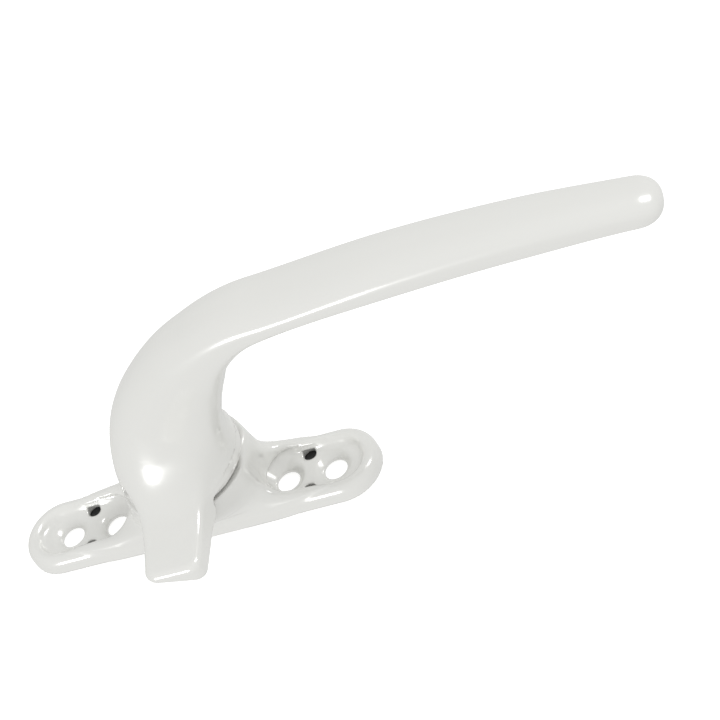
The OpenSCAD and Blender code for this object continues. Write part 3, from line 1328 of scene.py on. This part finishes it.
@dataclass
class Studio:
    """Camera, floor and soft light."""

    camera_at: tuple[float, float, float] = (0.1671, -0.2759, 0.3270)
    camera_aim: tuple[float, float, float] = (0.0461, 0.0136, 0.0186)
    camera_up: tuple[float, float, float] = (0.255, 0.753, 0.607)
    lens: float = 100.0
    sensor: float = 36.0
    level: float = 0.755
    tilt: tuple[float, float, float] = (0.03, 0.0, 0.0)
    floor_half: float = 3.0
    floor_gap: float = 0.0003
    floor_glow: float = 0.5
    lights: tuple[Softbox, ...] = (
        Softbox("key", (-0.36, -0.92, 0.17), (0.01, -0.01, 0.02), (0.20, 0.22), 2.4),
        Softbox("side", (0.63, 0.15, 0.81), (0.03, 0.0, 0.02), (0.24, 0.44), 2.1),
    )

    @staticmethod
    def turned(at: Vector, aim: Vector, up: Vector) -> Matrix:
        """Place of something that looks along its own -Z.

        Args:
            at: where it stands.
            aim: the point that it looks at.
            up: the way that is up in its view.

        Returns:
            Its matrix.
        """
        back = (at - aim).normalized()
        right = up.cross(back).normalized()
        return Matrix.Translation(at) @ Matrix((right, back.cross(right), back)).transposed().to_4x4()

    def camera(self) -> None:
        """Adds the camera."""
        data = bpy.data.cameras.new("camera")
        data.lens, data.sensor_width = self.lens, self.sensor
        data.clip_start, data.clip_end = 0.01, 20.0
        camera = bpy.data.objects.new("camera", data)
        camera.matrix_world = self.turned(
            Vector(self.camera_at), Vector(self.camera_aim), Vector(self.camera_up)
        )
        bpy.context.scene.collection.objects.link(camera)
        bpy.context.scene.camera = camera

    def softbox(self, box: Softbox) -> None:
        """Adds a rectangular light.

        Args:
            box: the light's place, size and power.
        """
        data = bpy.data.lights.new(box.name, "AREA")
        data.shape, data.energy = "RECTANGLE", box.power
        data.size, data.size_y = box.size
        light = bpy.data.objects.new(box.name, data)
        light.matrix_world = self.turned(Vector(box.at), Vector(box.aim), Vector((0.0, 0.0, 1.0)))
        bpy.context.scene.collection.objects.link(light)

    def floor(self) -> None:
        """Adds a pale floor that glows a little, as a lit table does."""
        half = self.floor_half
        corners = np.array([(-half, -half, 0), (half, -half, 0), (half, half, 0), (-half, half, 0)], float)
        corners[:, 2] = CAD_BOX[0][2] - self.floor_gap
        floor = mesh_object("floor", corners, np.array([[0, 1, 2, 3]]))
        made = bpy.data.materials.new("floor_paper")
        made.use_nodes = True
        graph = Graph(made.node_tree)
        inputs = {"Base Color": (0.9, 0.9, 0.9, 1.0), "Roughness": 0.9, "Specular IOR Level": 0.1}
        inputs |= {"Emission Color": (1.0, 1.0, 1.0, 1.0), "Emission Strength": self.floor_glow}
        surface = graph.add("ShaderNodeBsdfPrincipled", {}, inputs)
        graph.add("ShaderNodeOutputMaterial", {}, {"Surface": surface})
        floor.data.materials.append(made)
        floor.visible_diffuse = floor.visible_glossy = False

    def sky(self) -> None:
        """Sets the even white surround."""
        world = bpy.data.worlds.new("surround")
        world.use_nodes = True
        graph = Graph(world.node_tree)
        way = graph.add("ShaderNodeTexCoord", {}, {}, "Generated")
        dot = {"operation": "DOT_PRODUCT"}
        tilt = graph.add("ShaderNodeVectorMath", dot, {0: way, 1: self.tilt}, "Value")
        light = graph.add(
            "ShaderNodeBackground", {}, {"Color": (1.0, 1.0, 0.985, 1.0), "Strength": tilt + self.level}
        )
        graph.add("ShaderNodeOutputWorld", {}, {"Surface": light})
        bpy.context.scene.world = world

    def build(self) -> None:
        """Sets the whole studio up."""
        self.camera()
        self.floor()
        self.sky()
        for box in self.lights:
            self.softbox(box)
        view = bpy.context.scene.view_settings
        view.view_transform, view.look = "Standard", "None"


def main() -> None:
    """Builds the handle and its studio."""
    logging.basicConfig(level=logging.INFO, format="%(message)s")
    for part in (Studio(), BasePlate(), Lever(), WaveWasher(), LeafSprings(), PivotParts()):
        part.build()


if __name__ == "__main__":
    main()
